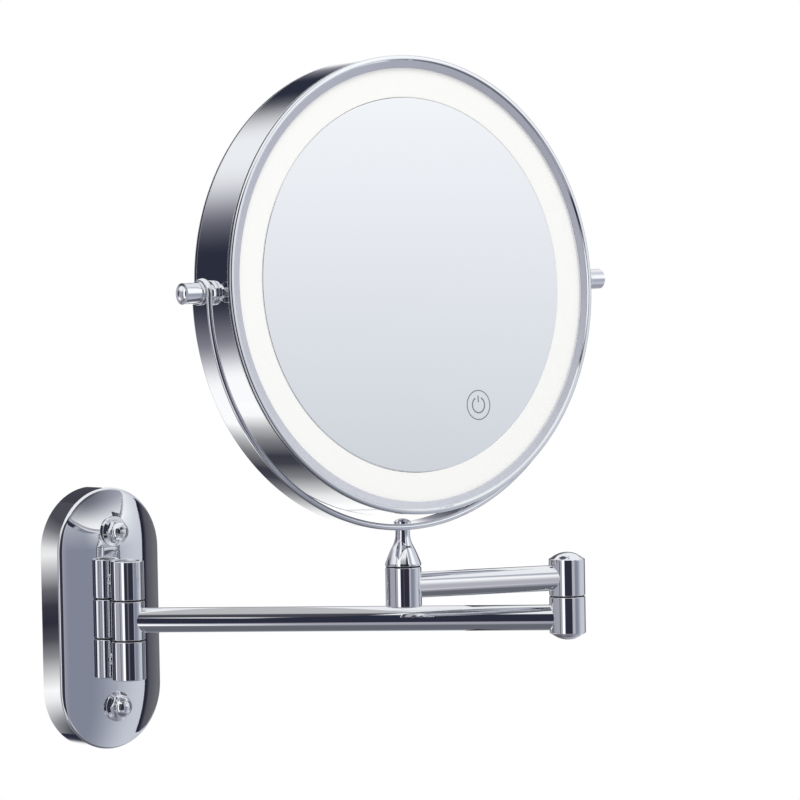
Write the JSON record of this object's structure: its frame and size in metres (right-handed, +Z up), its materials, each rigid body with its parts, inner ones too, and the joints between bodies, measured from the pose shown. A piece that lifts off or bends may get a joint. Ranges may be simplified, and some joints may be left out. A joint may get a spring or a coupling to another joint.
{
  "type": "extendable shaving mirror",
  "caption": "Round lit mirror that flips in a half-ring yoke on a two-part folding arm, hinged to a stadium-shaped wall plate.",
  "frame": {"origin": "centre of the wall plate's back face, on the wall", "axes": "+Z up, +Y into the wall, +X along the wall to the right as seen from the room"},
  "size_m": [0.2493, 0.1914, 0.3259],
  "materials": {
    "chrome": "mirror-polished chrome plating over brass and steel",
    "steel": "zinc-plated steel",
    "nylon": "dark nylon washer",
    "mirror": "silvered float glass",
    "diffuser": "opal acrylic, lit from behind",
    "board": "circuit board lacquer",
    "led": "LED packages",
    "inner_plastic": "white moulded ABS",
    "black_plastic": "black moulded ABS",
    "cell": "battery sleeve",
    "wire": "wire insulation",
    "brass": "turned brass"
  },
  "bodies": {
    "wall_mount": {"wall_bracket": "steel", "cover_studs": "steel", "wall_cover": "chrome", "cap_nuts": "chrome", "backing_plate": "steel", "upper_knuckle": "chrome", "lower_knuckle": "chrome", "knuckle_nuts": "steel", "hinge_pin": "chrome", "hinge_washers": "nylon"},
    "lower_arm": {"arm_knuckle": "chrome", "lower_tube": "chrome", "elbow_lower_knuckle": "chrome", "elbow_pin": "steel"},
    "upper_arm": {"elbow_upper_knuckle": "chrome", "elbow_washer": "nylon", "upper_tube": "chrome", "yoke_base": "chrome", "swivel_washer": "nylon"},
    "yoke": {"yoke_neck": "chrome", "swivel_clip": "steel", "yoke_ring": "chrome", "yoke_screw": "chrome"},
    "head": {"drum_band": "chrome", "front_rim": "chrome", "rear_rim": "chrome", "front_mirror": "mirror", "magnifying_mirror": "mirror", "light_ring": "diffuser", "led_board": "board", "leds": "led", "core_plate": "inner_plastic", "control_board": "board", "touch_pad": "brass", "battery_box": "black_plastic", "batteries": "cell", "battery_springs": "steel", "lead_wires": "wire", "pivot_screws": "steel", "pivot_spacers": "chrome", "pivot_bushes": "brass", "pivot_washers": "chrome", "left_knob": "chrome", "right_knob": "chrome", "rim_screw": "steel"}
  },
  "joints": [
    {"name": "wall_swing", "type": "hinge", "parent": "wall_mount", "child": "lower_arm", "pos_m": [0, -0.0276, 0], "axis": [0, 0, 1], "range_deg": [-127, 43]},
    {"name": "elbow_swing", "type": "hinge", "parent": "lower_arm", "child": "upper_arm", "pos_m": [0.13985, -0.18292, 0], "axis": [0, 0, 1], "continuous": true},
    {"name": "yoke_swivel", "type": "hinge", "parent": "upper_arm", "child": "yoke", "pos_m": [0.06434, -0.15226, 0.0189], "axis": [0, 0, 1], "continuous": true},
    {"name": "head_tilt", "type": "hinge", "parent": "yoke", "child": "head", "pos_m": [0.06434, -0.15226, 0.1574], "axis": [0.998, -0.0628, 0], "continuous": true}
  ]
}
